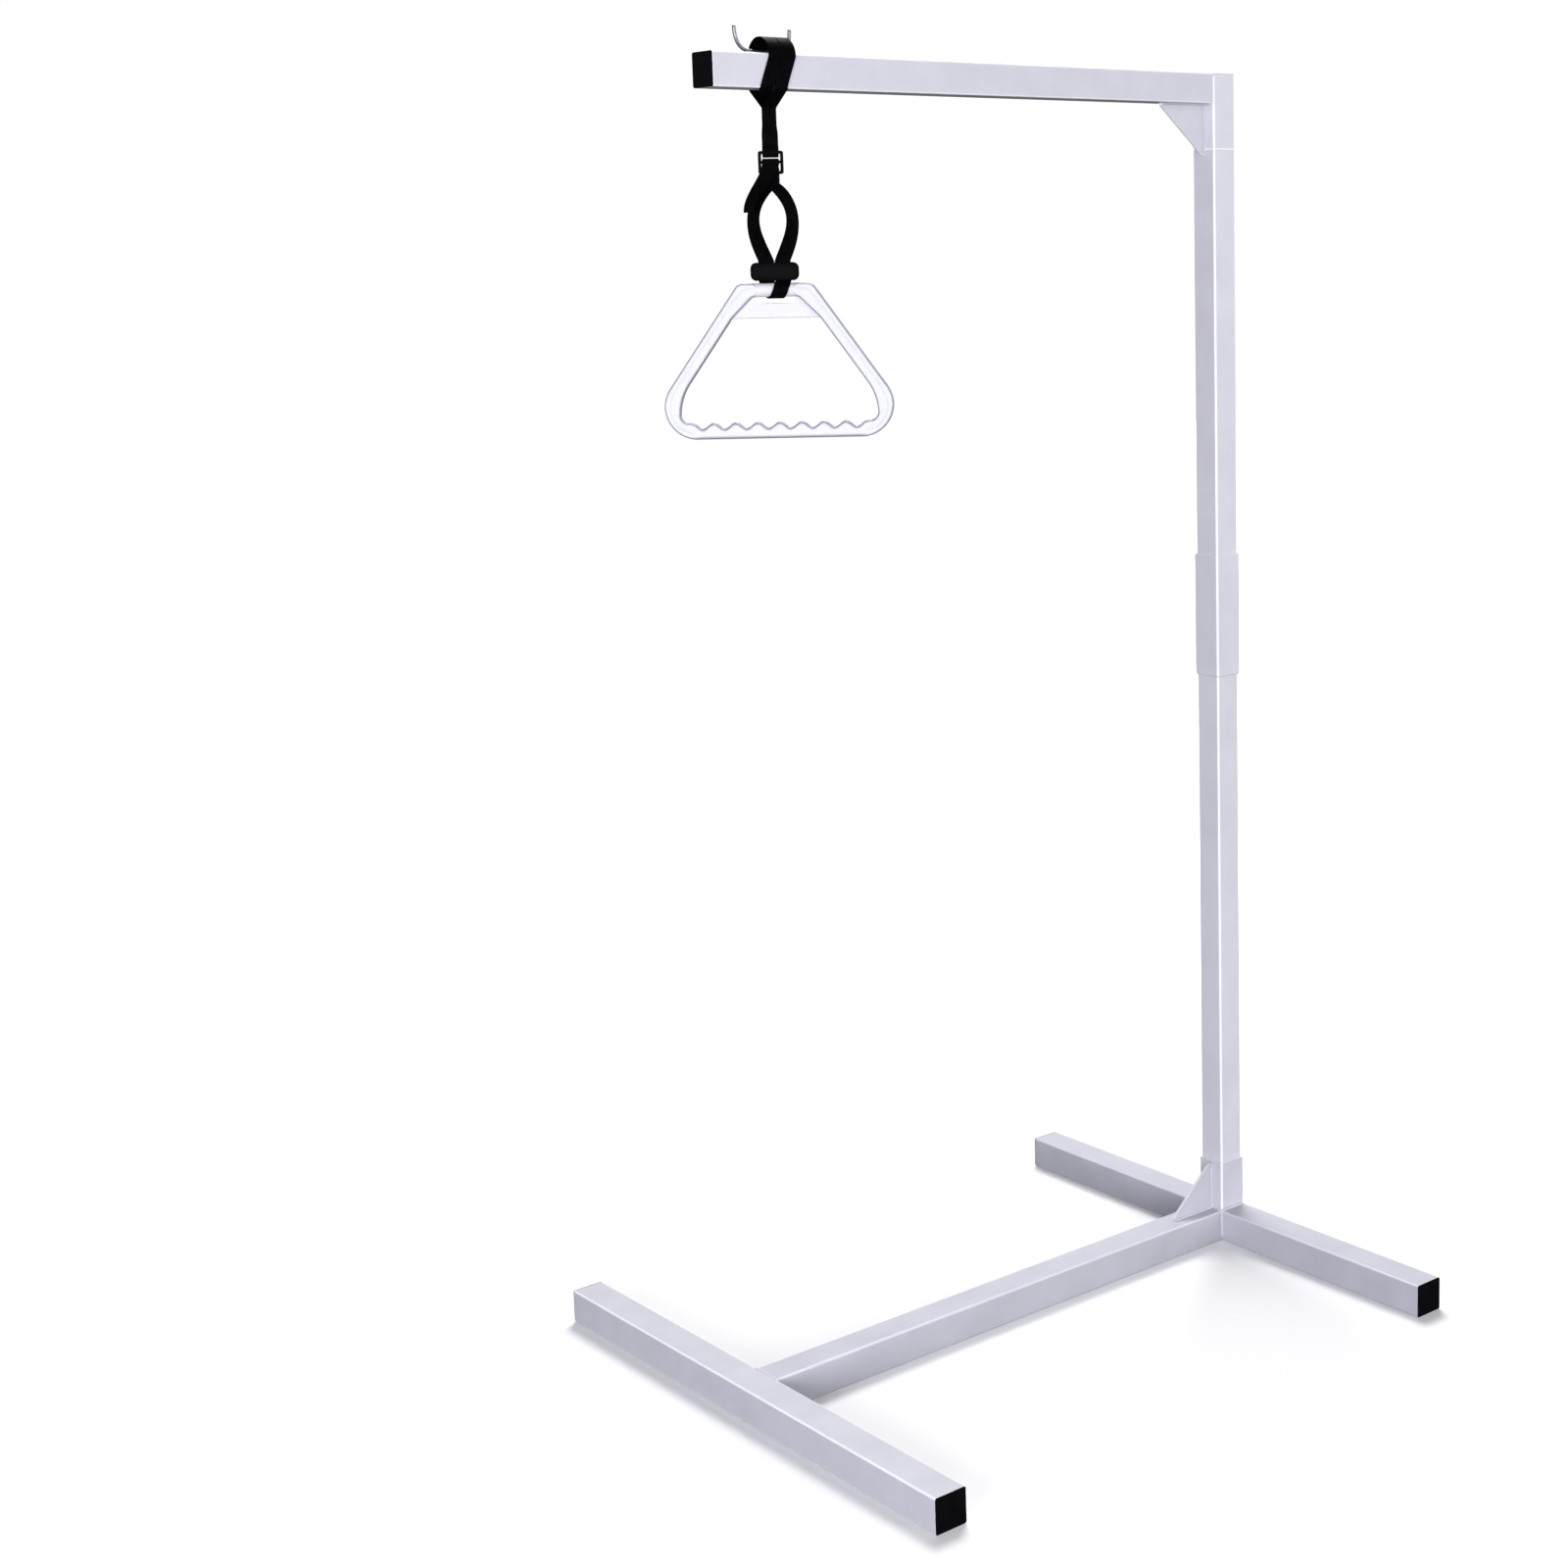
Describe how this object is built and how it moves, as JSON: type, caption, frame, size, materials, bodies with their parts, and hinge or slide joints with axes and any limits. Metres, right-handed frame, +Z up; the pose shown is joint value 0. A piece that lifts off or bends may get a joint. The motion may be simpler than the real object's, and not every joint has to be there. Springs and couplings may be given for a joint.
{
  "type": "bed trapeze",
  "caption": "Free-standing bed trapeze: H-shaped square-tube base, two-part column with a sleeve, boom with gusset, and a triangular grab handle hanging on webbing.",
  "frame": {"origin": "on the floor, in the middle of the base's outline", "axes": "+Z up; +X from the middle of the base to the column, so the boom points along -X; +Y to the side that carries the clamp bolts"},
  "size_m": [0.98, 0.8732, 1.885],
  "materials": {
    "paint": "satin light lavender-grey powder coat",
    "black_plastic": "fine-grained black moulding",
    "grey_plastic": "satin light grey moulding",
    "zinc": "bright zinc plating",
    "wire": "drawn steel wire",
    "webbing": "woven black webbing",
    "white_plastic": "satin white moulding"
  },
  "bodies": {
    "base": {"front_foot": "paint", "front_foot_cap_left": "black_plastic", "front_foot_cap_right": "black_plastic", "rear_foot": "paint", "rear_foot_cap_left": "black_plastic", "rear_foot_cap_right": "black_plastic", "base_rail": "paint", "column_socket": "paint", "base_gusset": "paint", "socket_weld_nut": "paint", "socket_clamp_bolt": "zinc"},
    "column": {"lower_column": "paint", "column_sleeve": "paint", "sleeve_weld_nut": "paint", "sleeve_clamp_bolt": "zinc"},
    "mast": {"upper_column": "paint", "elbow_post": "paint", "column_cap": "grey_plastic", "boom": "paint", "boom_cap": "black_plastic", "boom_gusset": "paint", "wire_keeper": "wire", "boom_winding": "webbing"},
    "strap_top": {"hanging_strap_top": "webbing"},
    "strap_middle": {"hanging_strap_middle": "webbing"},
    "buckle": {"hanging_strap_lower": "webbing", "ladder_buckle": "black_plastic", "strap_tail": "webbing", "sewn_fold": "webbing", "loop_leg_front": "webbing", "loop_leg_back": "webbing"},
    "loop_end": {"strap_slider": "black_plastic", "handle_loop": "webbing"},
    "handle": {"grab_handle": "white_plastic"}
  },
  "joints": [
    {"name": "column_lift", "type": "slide", "parent": "base", "child": "column", "axis": [0, 0, 1], "range_m": [0, 0.075]},
    {"name": "mast_lift", "type": "slide", "parent": "column", "child": "mast", "axis": [0, 0, 1], "range_m": [0, 0.09]},
    {"name": "strap_swing_side", "type": "hinge", "parent": "mast", "child": "strap_top", "pos_m": [-0.3575, 0, 1.77055], "axis": [1, 0, 0], "range_deg": [-60, 60]},
    {"name": "strap_swing_along", "type": "hinge", "parent": "strap_top", "child": "strap_middle", "pos_m": [-0.3575, 0, 1.75275], "axis": [0, 1, 0], "range_deg": [-45, 45]},
    {"name": "strap_twist", "type": "hinge", "parent": "strap_middle", "child": "buckle", "pos_m": [-0.3575, 0, 1.7471], "axis": [0, 0, 1], "range_deg": [-90, 90]},
    {"name": "strap_adjust", "type": "slide", "parent": "buckle", "child": "loop_end", "axis": [0, 0, 1], "range_m": [0, 0.05], "deforming": ["loop_leg_front", "loop_leg_back"]},
    {"name": "handle_rock", "type": "hinge", "parent": "loop_end", "child": "handle", "pos_m": [-0.3575, 0, 1.54715], "axis": [0.7547, -0.6561, 0], "range_deg": [-75, 75]}
  ]
}
